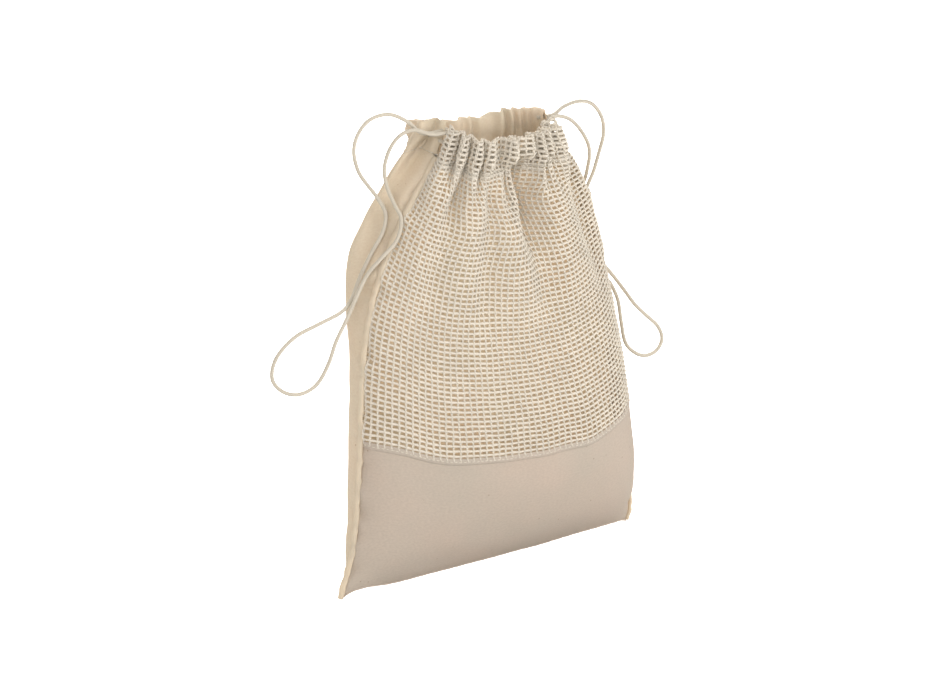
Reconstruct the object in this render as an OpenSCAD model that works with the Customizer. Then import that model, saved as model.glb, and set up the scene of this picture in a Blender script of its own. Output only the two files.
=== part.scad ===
// Drawstring produce bag: calico back and base, open-net front, gathered neck with two drawcords.
// Millimetres, +Z up, front faces -Y. The origin is under the middle of the filled bag.

/* [Bag] */
// Width across the two bottom corners
bag_w = 288; // [270:1:300]
// Height of the filled bag, from the table to the rim
bag_h = 374; // [360:1:386]
// Depth of the filled bag at its fullest, front to back
bag_d = 106; // [96:1:112]
// Thickness of the cloth solids
cloth_t = 1.6; // [1.2:0.1:2]
// Height of the join between the net and the lower panel, at the side seams
join_h = 122; // [110:1:134]

/* [Casing] */
// Height of the drawcord casing
casing_h = 28; // [26:1:32]
// Half the thickness of the casing where it is fullest
casing_r = 4.9; // [4.5:0.1:5.5]
// How much the gathers stand out from the casing, as a share of its thickness
gather = 0.45; // [0.2:0.05:0.6]
// Number of gathers across the front casing
front_gathers = 9; // [7:1:11]
// Number of gathers across the back casing
back_gathers = 11; // [8:1:13]

/* [Cord] */
// Diameter of the drawcord
cord_d = 3; // [2.5:0.1:3.2]

/* [Base] */
// Depth of the strip of cloth at the bottom seam that lies on the table
base_d = 32; // [24:1:40]
// Thickness of that strip
base_t = 2.6; // [2:0.1:3]

/* [Hidden] */

calico = [0.86, 0.80, 0.70];
net = [0.93, 0.89, 0.79];
thread = [0.90, 0.86, 0.77];
cord = [0.88, 0.84, 0.76];

gap = 0.3;                                  // clearance between cloth pieces
cord_z = bag_h - casing_h / 2;              // height of the cords in the casing
casing_z = bag_h - casing_h;                // height of the casing's stitch line
base_y = 3;                                 // middle of the strip that lies on the table
scale_x = bag_w / 288;
scale_y = bag_d / 106;
scale_z = bag_h / 374;

// Stations up the bag. Each row holds, in mm at the nominal size:
// height, left seam x, right seam x, seam y, front depth, back depth,
// how far the back panel wraps past the left seam and the right seam,
// and how far the front's fullest line leans to the right.
stations = [
    [0,   -144, 144,  9,  1,  1,  0,  0,  0],
    [14,  -141, 142,  8, 20, 15,  0,  0,  6],
    [38,  -137, 139,  5, 38, 27,  1,  1, 16],
    [77,  -133, 136,  2, 50, 40,  4,  2, 24],
    [125, -131, 132,  0, 52, 51,  8,  3, 22],
    [182, -128, 127, -1, 44, 55, 12,  4, 14],
    [230, -118, 118,  0, 36, 55, 18,  5,  8],
    [270, -101, 107,  2, 30, 50, 24,  6,  4],
    [304,  -79,  93,  5, 28, 44, 30,  8,  0],
    [336,  -52,  72,  8, 28, 38, 34, 10,  0],
    [358,  -40,  62,  9, 27, 34, 34, 10,  0],
    [374,  -42,  63,  9, 28, 36, 34, 10,  0]];
last = len(stations) - 1;

function clamp(x, lo, hi) = max(lo, min(hi, x));
function ease(x) = let (c = clamp(x, 0, 1)) c * c * (3 - 2 * c);
function unit(v) = v / norm(v);

// The station values at any height, on a smooth curve through the rows
function span(h, i = 0) = i >= last - 1 || h < stations[i + 1][0] ? i : span(h, i + 1);
function slope(i) = let (a = stations[max(0, i - 1)], b = stations[min(last, i + 1)])
    (b - a) / (b[0] - a[0]);
function station(h) = let (i = span(h), a = stations[i], b = stations[i + 1], w = b[0] - a[0], t = (h - a[0]) / w)
    (2 * t * t * t - 3 * t * t + 1) * a + (t * t * t - 2 * t * t + t) * w * slope(i)
    + (3 * t * t - 2 * t * t * t) * b + (t * t * t - t * t) * w * slope(i + 1);

// Inner surface of the front, t running from 0 at the left seam to 1 at the right seam
function front_at(t, z) = let (s = station(z / scale_z), half = (s[2] - s[1]) / 2, mid = (s[2] + s[1]) / 2)
    [scale_x * (mid - half * cos(180 * t) + s[8] * pow(sin(180 * t), 2)),
     scale_y * (s[3] - 0.5 - s[4] * sin(180 * t)), z];
// Inner surface of the back, t running from 0 at the left seam to 1 at the right seam
function back_at(t, z) = let (s = station(z / scale_z), half = (s[2] - s[1]) / 2, mid = (s[2] + s[1]) / 2,
        wrap = t < 0.5 ? s[6] : s[7])
    [scale_x * (mid - half * cos(180 * t) - wrap * sin(360 * t)),
     scale_y * (s[3] + 0.5 + s[5] * pow(sin(180 * t), 0.9)), z];
function skin_at(front, t, z) = front ? front_at(t, z) : back_at(t, z);

// Outward level direction of either surface
function outward(front, t, z) = let (e = 0.004, d = skin_at(front, min(1, t + e), z) - skin_at(front, max(0, t - e), z))
    unit(front ? [d[1], -d[0], 0] : [-d[1], d[0], 0]);

// Gathers: waves across the cloth that die away down the bag
function wave(front, t, z) = let (n = front ? front_gathers : back_gathers)
    (front ? 2.6 : 2.2) * ease((z / scale_z - 262) / 80) * sin(360 * n * t)
        * ease((t - 0.05) / 0.06) * ease((0.95 - t) / 0.06);

// At the side seams the two surfaces part along the line between their outward directions
function halfway(t, z) = outward(true, t, z) + outward(false, t, z);
function lean_of(t, z) = norm(halfway(t, z)) / 2;      // cosine of half the angle between the two
function thicken(front, t, z) = t > 0 && t < 1 ? outward(front, t, z) : unit(halfway(t, z)) / lean_of(t, z);

function grid(a, b, n) = [for (i = [0:n]) a + (b - a) * i / n];
function skin(front, ts, zs, off) = [for (z = zs) [for (t = ts)
    skin_at(front, t, z) + thicken(front, t, z) * (off + wave(front, t, z))]];

// Triangles of a closed surface that joins two like grids of points, the inner and the outer
function flip(f, yes) = yes ? [for (a = f) [a[2], a[1], a[0]]] : f;
function grid_faces(rows, cols, o) = [for (r = [0:rows - 2], c = [0:cols - 2]) let (a = o + r * cols + c)
    each [[a, a + 1, a + cols + 1], [a, a + cols + 1, a + cols]]];
function rim_faces(loop, o) = [for (i = [0:len(loop) - 1]) let (a = loop[i], b = loop[(i + 1) % len(loop)])
    each [[a, b + o, a + o], [a, b, b + o]]];
module between(inner, outer, mirrored = false) {
    rows = len(inner);
    cols = len(inner[0]);
    n = rows * cols;
    edge = concat([for (c = [0:cols - 1]) c], [for (r = [1:rows - 1]) r * cols + cols - 1],
        [for (c = [cols - 2:-1:0]) (rows - 1) * cols + c], [for (r = [rows - 2:-1:1]) r * cols]);
    faces = concat(flip(grid_faces(rows, cols, 0), true), grid_faces(rows, cols, n), rim_faces(edge, n));
    polyhedron(points = concat([for (r = inner) each r], [for (r = outer) each r]),
        faces = flip(faces, mirrored), convexity = 10);
}
module cloth(front, ts, zs) {
    between(skin(front, ts, zs, 0), skin(front, ts, zs, cloth_t), !front);
}

// A tube swept along a route: rings of points square to it
function turn(p, i) = unit(p[min(len(p) - 1, i + 1)] - p[max(0, i - 1)]);
// Each ring's first point stays nearest to the one before, so that the tube doesn't twist
function follow(prev, d) = unit(prev - (prev * d) * d);
function frames(p, i, u) = i >= len(p) ? [] : let (w = follow(u, turn(p, i))) concat([w], frames(p, i + 1, w));
module tube(p, r, sides = 8) {
    start = turn(p, 0);
    first = cross(start, abs(start[2]) > 0.9 ? [0, 1, 0] : [0, 0, 1]);
    side = frames(p, 0, unit(first));
    points = [for (i = [0:len(p) - 1]) let (u = side[i], v = cross(u, turn(p, i)))
        for (k = [0:sides - 1]) p[i] + r * (cos(360 * k / sides) * u + sin(360 * k / sides) * v)];
    n = len(p);
    walls = [for (i = [0:n - 2], k = [0:sides - 1])
        let (a = i * sides + k, b = i * sides + (k + 1) % sides)
        each [[a, b, b + sides], [a, b + sides, a + sides]]];
    caps = concat([for (k = [1:sides - 2]) [0, k + 1, k]],
        [for (k = [1:sides - 2]) let (o = (n - 1) * sides) [o, o + k, o + k + 1]]);
    polyhedron(points = points, faces = flip(concat(walls, caps), true), convexity = 10);
}
// Smooth points through a route
function bend(a, b, c, d, t) = 0.5 * (2 * b + (c - a) * t + (2 * a - 5 * b + 4 * c - d) * t * t
    + (3 * b - a - 3 * c + d) * t * t * t);
function smooth(p, per) = let (n = len(p)) concat([for (i = [0:n - 2], k = [0:per - 1])
    bend(i == 0 ? 2 * p[0] - p[1] : p[i - 1], p[i], p[i + 1], i == n - 2 ? 2 * p[n - 1] - p[n - 2] : p[i + 2], k / per)],
    [p[n - 1]]);

// ---- cloth -------------------------------------------------------------------------------------------

low_z = base_t + gap;
top_z = casing_z - 2 * gap;
function heights(a, b, n) = [for (s = grid(0, 1, n)) a + (b - a) * s];
function denser(n) = [for (s = grid(0, 1, n)) s - 0.06 * sin(360 * s)];   // closer together at the seams

module back_panel() color(calico)
    cloth(false, denser(50), concat([low_z, 8, 14, 22], heights(32, top_z, 21)));

module front_lower_panel() color(calico)
    cloth(true, denser(44), concat([low_z, 8, 14, 22, 32], heights(44, join_h - gap, 6)));

module front_mesh_panel() color(net)
    cloth(true, denser(44), heights(join_h, top_z, 20));

// A band of cloth doubled over the join, standing off the panels
module mesh_join_seam() color(calico) {
    ts = grid(0.02, 0.98, 44);
    zs = [join_h - 4, join_h + 4];
    between(skin(true, ts, zs, cloth_t + gap), skin(true, ts, zs, cloth_t + gap + 1.2));
}

// Casing: a closed channel of cloth, gathered in waves round the two cords inside it
profile = [[0, -1], [0.62, -0.66], [1, -0.2], [1, 0.3], [0.7, 0.78],
    [0, 1], [-0.7, 0.78], [-1, 0.3], [-1, -0.2], [-0.62, -0.66]];
function casing_ring(front, t, width, height, waves) = let (
        p = skin_at(front, t, cord_z), n = outward(front, t, cord_z),
        k = front ? front_gathers : back_gathers,
        swell = 1 + waves * (1 + sin(360 * k * t)) / 2, shrink = 1 + waves * (1 - sin(360 * k * t)) / 2)
    [for (q = profile) p + n * (cloth_t / 2 + width * q[0] * (q[0] > 0 ? swell : shrink))
        + [0, 0, height * q[1] * (1 + 0.06 * waves * sin(360 * k * t + 60))]];
module channel(front, ts) {
    n = len(ts);
    m = len(profile);
    outer = [for (t = ts) each casing_ring(front, t, casing_r, casing_h / 2, gather)];
    inner = [for (t = ts) each casing_ring(front, t, casing_r - 1.5, casing_h / 2 - 4, 0)];
    skin_faces = [for (i = [0:n - 2], k = [0:m - 1])
        let (a = i * m + k, b = i * m + (k + 1) % m) each [[a, b, b + m], [a, b + m, a + m]]];
    ends = [for (k = [0:m - 1]) let (a = k, b = (k + 1) % m, o = (n - 1) * m, h = n * m)
        each [[a, a + h, b + h], [a, b + h, b], [o + a, o + b + h, o + a + h], [o + a, o + b, o + b + h]]];
    inside = [for (f = skin_faces) [f[2], f[1], f[0]] + [n * m, n * m, n * m]];
    polyhedron(points = concat(outer, inner), faces = flip(concat(skin_faces, ends, inside), front), convexity = 10);
}
slit_t = 0.075;                             // how far the casings stop short of the side seams, as a share
module front_casing() color(net) channel(true, grid(slit_t, 1 - slit_t, 62));
module back_casing() color(calico) channel(false, grid(slit_t, 1 - slit_t, 72));

// Rows of stitches that hold the casings down
row_z = casing_z - 1.9;
stand_off = 1.3;                            // keeps the stitches clear of the gathers
module stitches(front, count) {
    for (i = [1:count - 1]) {
        t = slit_t + (1 - 2 * slit_t) * i / count;
        lift = outward(front, t, row_z) * (cloth_t + stand_off + wave(front, t, row_z));
        a = skin_at(front, t - 0.004, row_z) + lift;
        b = skin_at(front, t + 0.004, row_z) + lift;
        tube([a, b], 0.35, 4);
    }
}
module front_casing_stitch() color(thread) stitches(true, 48);
module back_casing_stitch() color(thread) stitches(false, 56);

// Side seams: a rolled edge that runs up outside the panels to the foot of each slit
seam_r = 1.2;
seam_gap = 1;                               // wider than gap, as the seams slope inwards towards the neck
// A point beside a side seam, clear of both panels: off is how far, half_w half its width
function beside(t, z, off, half_w = 0) = let (s = station(z / scale_z), c = lean_of(t, z),
        away = (off + half_w * sqrt(max(0, 1 - c * c))) / c)
    [scale_x * (t == 0 ? s[1] : s[2]), scale_y * s[3], z] + unit(halfway(t, z)) * away;
function seam_line(t) = [for (z = concat([low_z + 1, 10, 20, 32], heights(44, casing_z - 6, 24)))
    beside(t, z, cloth_t + seam_gap + seam_r)];
module left_side_seam() color(calico) tube(seam_line(0), seam_r, 8);
module right_side_seam() color(calico) tube(seam_line(1), seam_r, 8);

// Bartacks: a block of dense thread that stops each slit from tearing
tack_z = casing_z - 2.4;
module bartack(t) {
    away = halfway(t, tack_z);
    translate(beside(t, tack_z, cloth_t + seam_gap + 0.7, 1.5))
        rotate([0, 0, atan2(away[1], away[0])]) cube([1.4, 3, 2.4], center = true);
}
module left_bartack() color(thread) bartack(0);
module right_bartack() color(thread) bartack(1);

// Bottom seam: the strip of cloth along the seam that lies flat on the table
module bottom_seam() color(calico)
    translate([-bag_w / 2, base_y - base_d / 2, 0]) cube([bag_w, base_d, base_t]);

// ---- cords -------------------------------------------------------------------------------------------

pivot_gap = 1.4;                             // cord left out each side of the pivot, so the loop can swing
left_pivot = [-50, 9, 362];
right_pivot = [70, 9, 358];
leg_y = 3;                                  // each leg lies this far in front of or behind the seam
leg_in = 8;                                 // how far the legs reach in past the pivot

// Each loop's route, from its back leg at the pivot round to its front leg
left_route = [[-51.4, 12, 362], [-60, 12, 364], [-73, 12, 375], [-88, 14, 382], [-104, 16, 380], [-116, 15, 371],
    [-121, 14, 358], [-117, 14, 342], [-107, 16, 329], [-97, 17, 317], [-93, 12, 305], [-98, 9, 292],
    [-108, 10, 277], [-119, 10, 260], [-130, 6, 245], [-144, 1, 238], [-168, -3, 234], [-192, -6, 229],
    [-210, -8, 217], [-215, -9, 202], [-206, -9, 190], [-190, -8, 184], [-173, -7, 188], [-161, -6, 202],
    [-153, -5, 218], [-142, -3, 232], [-130, 1, 246], [-118, 3, 262], [-108, -3, 276], [-95, -5, 288],
    [-87, 0, 302], [-88, 7, 312], [-90, 14, 325], [-91, 16, 340], [-87, 14, 355], [-79, 10, 364],
    [-69, 8, 368], [-60, 6, 365], [-51.4, 6, 362]];
right_route = [[71.4, 12, 358], [84, 15, 362], [102, 18, 363], [119, 22, 357], [132, 26, 343], [137, 30, 328],
    [136, 34, 313], [132, 36, 297], [123, 34, 284], [115, 30, 270], [114, 26, 256], [118, 24, 243],
    [127, 26, 230], [138, 27, 218], [147, 24, 206], [151, 16, 196], [156, 10, 186], [165, 6, 176],
    [175, 4, 166], [180, 4, 154], [174, 4, 145], [162, 4, 143], [151, 5, 148], [143, 7, 158],
    [144, 14, 176], [146, 20, 189], [144, 26, 201], [138, 32, 213], [129, 34, 227], [120, 32, 241],
    [115, 33, 254], [116, 38, 267], [123, 43, 278], [128, 42, 290], [126, 36, 302], [121, 28, 313],
    [113, 20, 326], [98, 12, 342], [84, 7, 353], [71.4, 6, 358]];

// Rings no closer than they need to be, so that a tube keeps its triangle count down
module loop_cord(route) color(cord) tube(smooth(route, 2), cord_d / 2, 8);
module legs(pivot, dir) color(cord) for (side = [-1, 1])
    translate([pivot[0] - dir * pivot_gap, pivot[1] + side * leg_y, pivot[2]])
        rotate([0, -dir * 90, 0]) cylinder(h = leg_in, d = cord_d, $fn = 24);
module left_cord_legs() legs(left_pivot, -1);
module right_cord_legs() legs(right_pivot, 1);
module left_cord_loop() loop_cord(left_route);
module right_cord_loop() loop_cord(right_route);

// Inside the casings: the left cord lies above the right cord
run_z = 2.4;                                // each cord's height above or below the middle of the casing
function run(front, up, ts) = [for (t = ts) skin_at(front, t, cord_z) + outward(front, t, cord_z) * cloth_t / 2
    + [0, 0, up * run_z]];
run_t = 0.09;
module cord_run(front, up) color(cord) tube(run(front, up, grid(run_t, 1 - run_t, 22)), cord_d / 2, 8);
module left_cord_front_run() cord_run(true, 1);
module right_cord_front_run() cord_run(true, -1);

// The back runs are broken by the splice that closes each cord into a ring
splice_t = 0.5;
splice_w = 0.03;
module back_run(up) color(cord) {
    tube(run(false, up, grid(run_t, splice_t - splice_w, 14)), cord_d / 2, 8);
    tube(run(false, up, grid(splice_t + splice_w, 1 - run_t, 14)), cord_d / 2, 8);
}
module left_cord_back_run() back_run(1);
module right_cord_back_run() back_run(-1);
module splice(up) color(thread)
    tube(run(false, up, grid(splice_t - splice_w + 0.001, splice_t + splice_w - 0.001, 4)), cord_d / 2 + 0.4, 8);
module left_cord_splice() splice(1);
module right_cord_splice() splice(-1);

// Each cord's far end turns round the opposite slit from one casing to the other
turn_t = run_t - 0.006;
function bight(left, up) = let (ts = left ? [turn_t, 0.06, 0.035, 0.012] : [1 - turn_t, 0.94, 0.965, 0.988])
    concat(run(true, up, ts), run(false, up, [ts[3], ts[2], ts[1], ts[0]]));
module left_cord_bight() color(cord) tube(smooth(bight(false, 1), 2), cord_d / 2, 8);
module right_cord_bight() color(cord) tube(smooth(bight(true, -1), 2), cord_d / 2, 8);

back_panel();
back_casing();
back_casing_stitch();
bottom_seam();
left_side_seam();
right_side_seam();
left_bartack();
right_bartack();
front_mesh_panel();
front_lower_panel();
mesh_join_seam();
front_casing();
front_casing_stitch();
left_cord_legs();
left_cord_loop();
left_cord_front_run();
left_cord_back_run();
left_cord_bight();
left_cord_splice();
right_cord_legs();
right_cord_loop();
right_cord_front_run();
right_cord_back_run();
right_cord_bight();
right_cord_splice();
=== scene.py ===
"""Looks of the drawstring produce bag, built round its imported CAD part.

The bag's lengths are in millimetres and become metres where a mesh is made. Lights and floor are in metres.
The cloth is worked out in three steps: a level outline at each height, gathered into folds so that the rows
come nearer their cut width towards the neck; a short relaxation that lets the cloth find its own creases; and
then the net's threads, hems, seams and stitches laid along the finished surfaces.
"""

import math

import bpy
import numpy as np
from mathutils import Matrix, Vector


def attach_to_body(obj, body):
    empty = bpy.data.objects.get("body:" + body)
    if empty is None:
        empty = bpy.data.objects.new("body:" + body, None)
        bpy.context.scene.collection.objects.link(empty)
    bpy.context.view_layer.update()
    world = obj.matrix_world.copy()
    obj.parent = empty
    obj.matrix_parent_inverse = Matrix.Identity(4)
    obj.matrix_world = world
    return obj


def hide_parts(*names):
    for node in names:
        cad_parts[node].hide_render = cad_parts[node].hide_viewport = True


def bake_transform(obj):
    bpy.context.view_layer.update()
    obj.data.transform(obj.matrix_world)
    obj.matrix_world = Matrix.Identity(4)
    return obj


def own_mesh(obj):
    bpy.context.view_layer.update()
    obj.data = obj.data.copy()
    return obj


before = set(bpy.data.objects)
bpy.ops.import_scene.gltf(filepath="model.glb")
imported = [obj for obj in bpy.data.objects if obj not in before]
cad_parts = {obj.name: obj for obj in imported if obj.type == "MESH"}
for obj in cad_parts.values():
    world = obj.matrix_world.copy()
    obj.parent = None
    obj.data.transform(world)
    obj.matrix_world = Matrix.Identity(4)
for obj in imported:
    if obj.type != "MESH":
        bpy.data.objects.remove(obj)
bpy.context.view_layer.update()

MM = 0.001

# ---- driving sizes -------------------------------------------------------------------------------

FLAT_W = 300.0          # cut width of each panel, seam to seam
FLAT_H = 400.0          # cut height of each panel, bottom seam to rim
JOIN_V = 126.0          # cut height of the calico lower panel
CASING_V = 371.0        # height on the cloth of the casing's stitch line
CORD_V = 386.0          # height on the cloth of the two cords
HEM_V = 5.0             # how far the casing's turned-in edge reaches below its stitch line
CLOTH_T = 0.7           # thickness of the calico
CORD_D = 3.0            # thickness of the cords
HIDDEN_CORD_R = CORD_D / 2 - 0.1    # a cord is squeezed a little inside its casing
WEFT_PITCH = 4.28       # spacing of the net's level threads
WARP_PITCH = 5.65       # spacing of the net's upright threads
TINY = 1e-9             # keeps a division by a length off zero

# Heights on the cloth where the close gathers and the broad folds begin, and how far each takes to grow
GATHER_FROM = 326
GATHER_OVER = 44
FOLDS_FROM = 225
FOLDS_OVER = 110

# Spacing of points along the cords and the seams
CORD_STEP = 1.2
SEAM_STEP = 1.6

# Height, left seam x, right seam x, seam y, front depth, back depth, how far the back wraps past the left
# seam and the right seam, and how far the front's fullest line leans to the right
STATIONS = np.array([
    [0, -141, 147, 9, 1, 1, 0, 0, 0],
    [14, -138, 149, 8, 20, 15, 7, 1, 6],
    [38, -132, 147, 5, 38, 27, 12, 2, 16],
    [77, -129, 140, 2, 50, 40, 12, 3, 24],
    [125, -127, 131, 0, 52, 51, 9, 4, 22],
    [182, -125, 122, -1, 44, 55, 9, 5, 14],
    [230, -117, 112, 0, 36, 55, 20, 6, 8],
    [270, -101, 103, 2, 30, 50, 36, 7, 4],
    [304, -79, 92, 5, 28, 44, 40, 8, 0],
    [336, -52, 72, 8, 28, 38, 36, 10, 0],
    [358, -38, 62, 9, 27, 34, 27, 10, 0],
    [374, -34, 63, 9, 28, 36, 24, 10, 0],
], float)

# Heights of the rims and of the bottom seam, evenly spaced from the left seam to the right seam
RIM_FRONT = (368, 363, 358, 356, 355, 355, 356, 358, 360)
RIM_BACK = (369, 370, 367, 362, 359, 360, 361, 363, 362)
FOOT = (0.9, 8.4, 7.8, 8.4, 9.4, 7.8, 6.6, 4.8, 1.6)

# Each free loop's route, from its back leg at the slit round to its front leg
LEFT_ROUTE = [
    (-33, 14, 362), (-42, 11.5, 362), (-51.4, 12, 362), (-60, 12, 364), (-73, 12, 375), (-88, 14, 382),
    (-104, 16, 380), (-116, 15, 371), (-121, 14, 358), (-117, 14, 342), (-107, 16, 329), (-97, 17, 317),
    (-93, 12, 305), (-98, 9, 292), (-108, 10, 277), (-119, 10, 260), (-130, 6, 245), (-144, 1, 238),
    (-168, -3, 234), (-192, -6, 229), (-210, -8, 217), (-215, -9, 202), (-206, -9, 190), (-190, -8, 184),
    (-173, -7, 188), (-161, -6, 202), (-153, -5, 218), (-142, -3, 232), (-130, 1, 246), (-118, 3, 262),
    (-108, -3, 276), (-95, -5, 288), (-87, 0, 302), (-88, 7, 312), (-90, 14, 325), (-91, 16, 340),
    (-87, 14, 355), (-79, 11, 365), (-69, 8, 368), (-60, 6, 365), (-51.4, 6, 362), (-42, 4.5, 362),
    (-32, 1, 362)]
RIGHT_ROUTE = [
    (59, 18, 356), (64.5, 14.5, 357), (71.4, 12, 358), (84, 15, 362), (102, 18, 363), (119, 22, 357),
    (132, 26, 343),
    (137, 30, 328), (136, 34, 313), (132, 36, 297), (123, 34, 284), (115, 30, 270), (114, 26, 256),
    (118, 24, 243), (127, 26, 230), (138, 27, 218), (147, 24, 206), (151, 16, 196), (156, 10, 186),
    (165, 6, 176), (175, 4, 166), (180, 4, 154), (174, 4, 145), (162, 4, 143), (151, 5, 148),
    (143, 7, 158), (144, 14, 176), (146, 20, 189), (144, 26, 201), (138, 32, 213), (129, 34, 227),
    (120, 32, 241), (115, 33, 254), (116, 38, 267), (123, 43, 278), (128, 42, 290), (126, 36, 302),
    (121, 28, 313), (113, 20, 326), (98, 12, 342), (84, 7, 353), (71.4, 6, 358), (64, 4.5, 358), (57, 1, 358)]

# Deep creases that run down from the casings: place across the row at the top and bottom, from 0 to 1, height
# on the cloth at the top and bottom, depth and half-width
FRONT_CREASES = [
    (0.29, 0.37, 370, 336, 5.0, 4.5),
    (0.45, 0.48, 374, 312, 18.0, 5.0),
    (0.555, 0.59, 376, 284, 28.0, 7.0),
    (0.715, 0.705, 372, 318, 6.0, 5.5),
    (0.12, 0.20, 372, 320, 4.5, 5.5),
    (0.82, 0.90, 352, 240, 5.0, 8.0),
]
BACK_CREASES = [
    (0.09, 0.045, 380, 240, 9.0, 5.5),
    (0.18, 0.13, 384, 280, 8.0, 5.0),
    (0.25, 0.20, 382, 300, 5.0, 5.5),
    (0.34, 0.30, 374, 290, 5.0, 6.0),
    (0.62, 0.66, 374, 300, 8.0, 6.0),
    (0.80, 0.86, 374, 300, 6.0, 6.0),
]


def ease(x):
    x = np.clip(x, 0.0, 1.0)
    return x * x * (3 - 2 * x)


def unit(vectors, tiny=TINY):
    """The same directions with length 1."""
    return vectors / (np.linalg.norm(vectors, axis=-1, keepdims=True) + tiny)


def steps_along(line):
    """The distance from each point of a line to the next."""
    return np.linalg.norm(np.diff(line, axis=0), axis=1)


def line_length(line):
    return float(steps_along(line).sum())


def running_length(line):
    """How far along the line each of its points is."""
    return np.concatenate([[0], np.cumsum(steps_along(line))])


def soften(grid, rounds):
    """Evens out a grid of points across its columns, whose ends stay put."""
    calm = grid.copy()
    for _ in range(rounds):
        calm[..., 1:-1, :] = (calm[..., :-2, :] + 2 * calm[..., 1:-1, :] + calm[..., 2:, :]) / 4
    return calm


def inwards_from(calm, front):
    """Level directions that point into the bag from points that run from its left seam to its right seam."""
    pull = np.gradient(calm, axis=-2)
    return unit(np.stack([-pull[..., 1], pull[..., 0], 0 * pull[..., 0]], -1) * (1 if front else -1))


def samples(marks, path, u):
    """Points of a path at the places u, where marks says at what place each of its own points stands."""
    return np.stack([np.interp(u, marks, path[:, k]) for k in range(3)], 1)


def wander(x, seed, turns):
    """A smooth irregular line: waves of unrelated lengths, from about -1 to 1."""
    total = 0.0
    for k in range(1, 5):
        total = total + np.sin(2 * np.pi * turns * k**0.83 * x + seed * 2.4 * k + k * k) / k
    return total / 1.6


# ---- camera, made first --------------------------------------------------------------------------

VIEW_AZIMUTH = -37.5
VIEW_ELEVATION = 17.74
VIEW_DISTANCE = 3.0
VIEW_WIDTH = 0.764      # metres across the picture at the bag
VIEW_RIGHT = -7.24      # the picture's middle, measured across and up from the bag's foot, in mm
VIEW_UP = 169.6
VIEW_BEHIND = 9.0       # how far behind the frame's middle the bag's foot stands, in mm
SENSOR_WIDTH = 36       # mm
FARTHEST_SEEN = 50      # metres


def make_camera():
    a = math.radians(VIEW_AZIMUTH)
    e = math.radians(VIEW_ELEVATION)
    right = Vector((math.cos(a), math.sin(a), 0))
    back = Vector((math.sin(a) * math.cos(e), -math.cos(a) * math.cos(e), math.sin(e)))
    up = back.cross(right)
    data = bpy.data.cameras.new("camera")
    camera = bpy.data.objects.new("camera", data)
    bpy.context.scene.collection.objects.link(camera)
    centre = Vector((0, VIEW_BEHIND * MM, 0)) + right * (VIEW_RIGHT * MM) + up * (VIEW_UP * MM)
    camera.location = centre + back * VIEW_DISTANCE
    camera.rotation_mode = "QUATERNION"
    camera.rotation_quaternion = back.to_track_quat("Z", "Y")
    data.sensor_width = SENSOR_WIDTH
    data.lens = SENSOR_WIDTH * VIEW_DISTANCE / VIEW_WIDTH
    data.clip_end = FARTHEST_SEEN
    bpy.context.scene.camera = camera


make_camera()

# ---- materials -----------------------------------------------------------------------------------


class Shader:
    """A material's node tree, with short ways to add and join nodes."""

    def __init__(self, name):
        self.material = bpy.data.materials.new(name)
        self.material.use_nodes = True
        self.tree = self.material.node_tree
        self.surface = self.tree.nodes["Principled BSDF"]
        self.output = self.tree.nodes["Material Output"]

    def add(self, kind, **values):
        node = self.tree.nodes.new(kind)
        for key, value in values.items():
            if hasattr(node, key):
                setattr(node, key, value)
            else:
                node.inputs[key.replace("_", " ")].default_value = value
        return node

    def join(self, source, target):
        self.tree.links.new(source, target)

    def ramp(self, source, stops):
        node = self.tree.nodes.new("ShaderNodeValToRGB")
        elements = node.color_ramp.elements
        while len(elements) < len(stops):
            elements.new(0.5)
        for element, (place, colour) in zip(elements, stops):
            element.position = place
            element.color = (*colour, 1) if len(colour) == 3 else colour
        self.join(source, node.inputs["Fac"])
        return node.outputs["Color"]

    def mix(self, kind, factor, a, b):
        node = self.tree.nodes.new("ShaderNodeMix")
        node.data_type = "RGBA"
        node.blend_type = kind
        node.inputs["Factor"].default_value = factor
        self.join(a, node.inputs[6])
        self.join(b, node.inputs[7])
        return node.outputs[2]


def grey(value):
    return (value, value, value)


def cloth_finish(shader, colour, translucent, roughness=0.92):
    """Joins the colour to a matte surface that lets some light through."""
    shader.join(colour, shader.surface.inputs["Base Color"])
    shader.surface.inputs["Roughness"].default_value = roughness
    shader.surface.inputs["Specular IOR Level"].default_value = 0.15
    shader.surface.inputs["Sheen Weight"].default_value = 0.12
    shader.surface.inputs["Sheen Roughness"].default_value = 0.6
    through = shader.add("ShaderNodeBsdfTranslucent")
    shader.join(colour, through.inputs["Color"])
    both = shader.add("ShaderNodeMixShader")
    both.inputs["Fac"].default_value = translucent
    shader.join(shader.surface.outputs["BSDF"], both.inputs[1])
    shader.join(through.outputs["BSDF"], both.inputs[2])
    shader.join(both.outputs["Shader"], shader.output.inputs["Surface"])


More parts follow.
